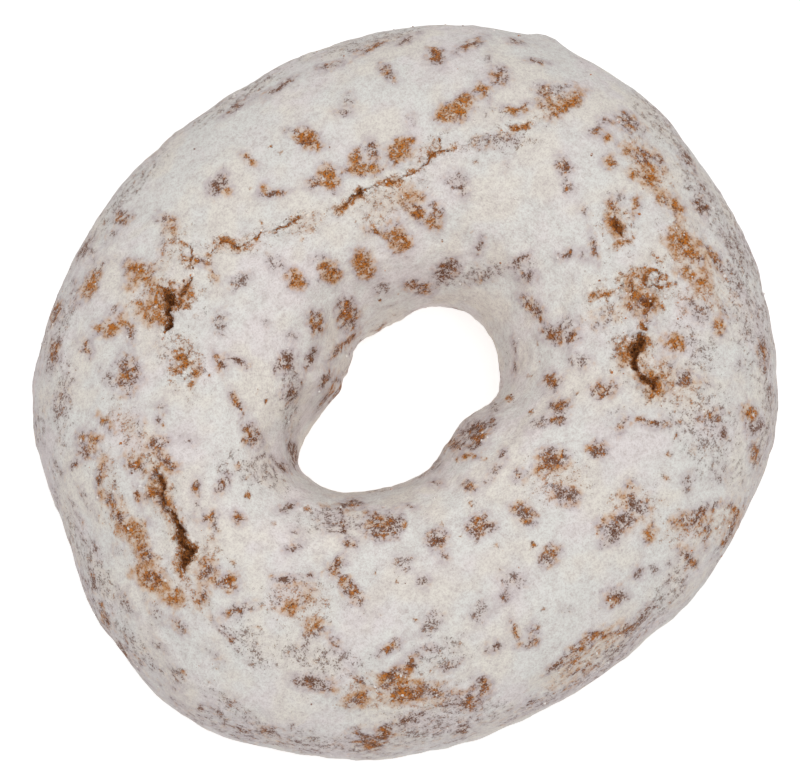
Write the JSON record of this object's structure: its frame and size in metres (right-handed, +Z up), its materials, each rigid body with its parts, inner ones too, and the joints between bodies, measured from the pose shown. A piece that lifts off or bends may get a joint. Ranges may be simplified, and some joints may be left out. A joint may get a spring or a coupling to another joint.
{
  "type": "powdered doughnut",
  "caption": "Ring of cake dough with an uneven, cracked crust under powdered sugar, a hole right through it and a flat underside that it rests on.",
  "frame": {"origin": "on the underside's plane, below the middle of the ring", "axes": "+Z up along the hole, +X along the longer way across the ring"},
  "size_m": [0.0884, 0.0804, 0.0291],
  "materials": {
    "powdered_crust": "matt powdered sugar, rubbed thin over a brown crust"
  },
  "bodies": {
    "root": {"doughnut": "powdered_crust"}
  },
  "joints": []
}
